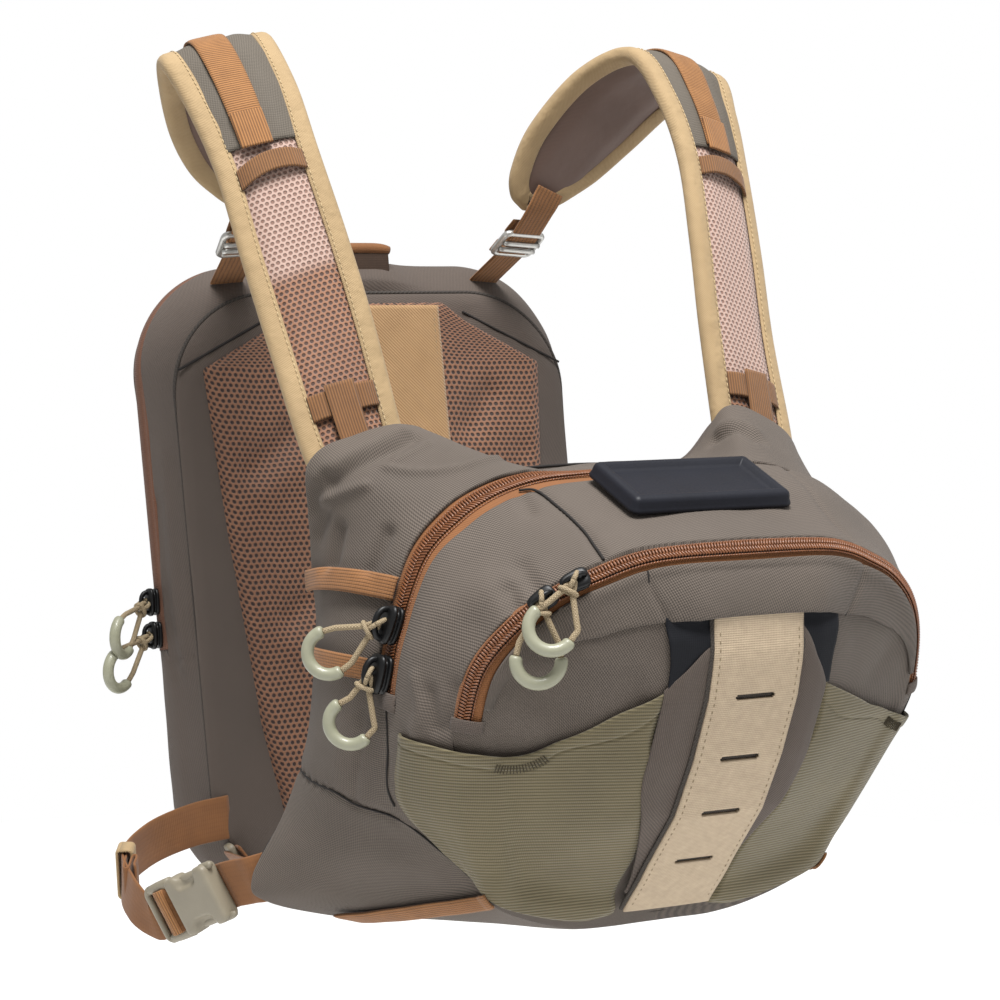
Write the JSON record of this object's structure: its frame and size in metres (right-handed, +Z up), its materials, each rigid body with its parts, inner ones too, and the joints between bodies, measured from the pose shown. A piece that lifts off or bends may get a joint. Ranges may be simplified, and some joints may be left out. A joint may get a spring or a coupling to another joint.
{
  "type": "fishing chest pack and backpack",
  "caption": "Worn fishing pack: a domed zipped chest pack with a slotted strip and stretch pockets, joined by padded straps and side webbing to a slim zipped backpack.",
  "frame": {"origin": "midway between the undersides of the two shoulder straps at their highest point, where the load rests on the shoulders", "axes": "+Z up as worn, the chest pack towards -Y, the backpack towards +Y, +X to the right as seen from the front"},
  "size_m": [0.4194, 0.4959, 0.4909],
  "materials": {
    "shell_nylon": "fine nylon twill, matt",
    "zip_tape": "woven tape with a coated coil",
    "stretch_knit": "ribbed stretch knit",
    "strip_cloth": "coated woven strip, satin",
    "gusset_cloth": "plain weave, matt",
    "foam": "closed-cell foam, matt",
    "webbing": "ribbed webbing",
    "strap_mesh": "spacer mesh",
    "binding": "twill binding",
    "back_mesh": "open spacer mesh",
    "centre_twill": "twill",
    "buckle_plastic": "moulded, fine grain",
    "lock_metal": "satin",
    "slider_metal": "black lacquer",
    "pull_grip": "moulded, matt",
    "pull_cord": "braided cord"
  },
  "bodies": {
    "root": {"chest_shell": "shell_nylon", "chest_back_panel": "shell_nylon", "main_zip": "zip_tape", "front_pocket": "shell_nylon", "front_pocket_zip": "zip_tape", "stretch_pocket_left": "stretch_knit", "stretch_pocket_right": "stretch_knit", "tool_strip": "strip_cloth", "expansion_gusset": "gusset_cloth", "fly_patch": "foam", "side_loop_upper_left": "webbing", "side_loop_lower_left": "webbing", "bottom_webbing_left": "webbing", "bottom_webbing_right": "webbing", "strap_pad_left": "strap_mesh", "strap_pad_right": "strap_mesh", "strap_binding_left": "binding", "strap_binding_right": "binding", "strap_webbing_left": "webbing", "strap_webbing_right": "webbing", "strap_band_upper_left": "webbing", "strap_band_upper_right": "webbing", "strap_band_lower_left": "webbing", "strap_band_lower_right": "webbing", "adjuster_webbing_left": "webbing", "adjuster_webbing_right": "webbing", "anchor_webbing_left": "webbing", "anchor_webbing_right": "webbing", "ladder_lock_left": "lock_metal", "ladder_lock_right": "lock_metal", "backpack_shell": "shell_nylon", "backpack_zip": "zip_tape", "backpack_panel": "shell_nylon", "back_mesh": "back_mesh", "back_centre_strip": "centre_twill", "haul_loop": "webbing", "side_webbing_rear_left": "webbing", "side_webbing_rear_right": "webbing", "side_buckle_female_left": "buckle_plastic", "side_buckle_female_right": "buckle_plastic", "side_buckle_male_left": "buckle_plastic", "side_buckle_male_right": "buckle_plastic", "side_webbing_front_left": "webbing", "side_webbing_front_right": "webbing", "side_keeper_left": "binding", "side_keeper_right": "binding", "lash_buckle": "buckle_plastic", "lash_webbing": "webbing", "main_upper_slider": "slider_metal", "main_upper_pull": "pull_grip", "main_lower_slider": "slider_metal", "main_lower_pull": "pull_grip", "pocket_upper_slider": "slider_metal", "pocket_upper_pull": "pull_grip", "pocket_lower_slider": "slider_metal", "pocket_lower_pull": "pull_grip", "backpack_upper_slider": "slider_metal", "backpack_upper_pull": "pull_grip", "backpack_lower_slider": "slider_metal", "backpack_lower_pull": "pull_grip"}
  },
  "joints": []
}
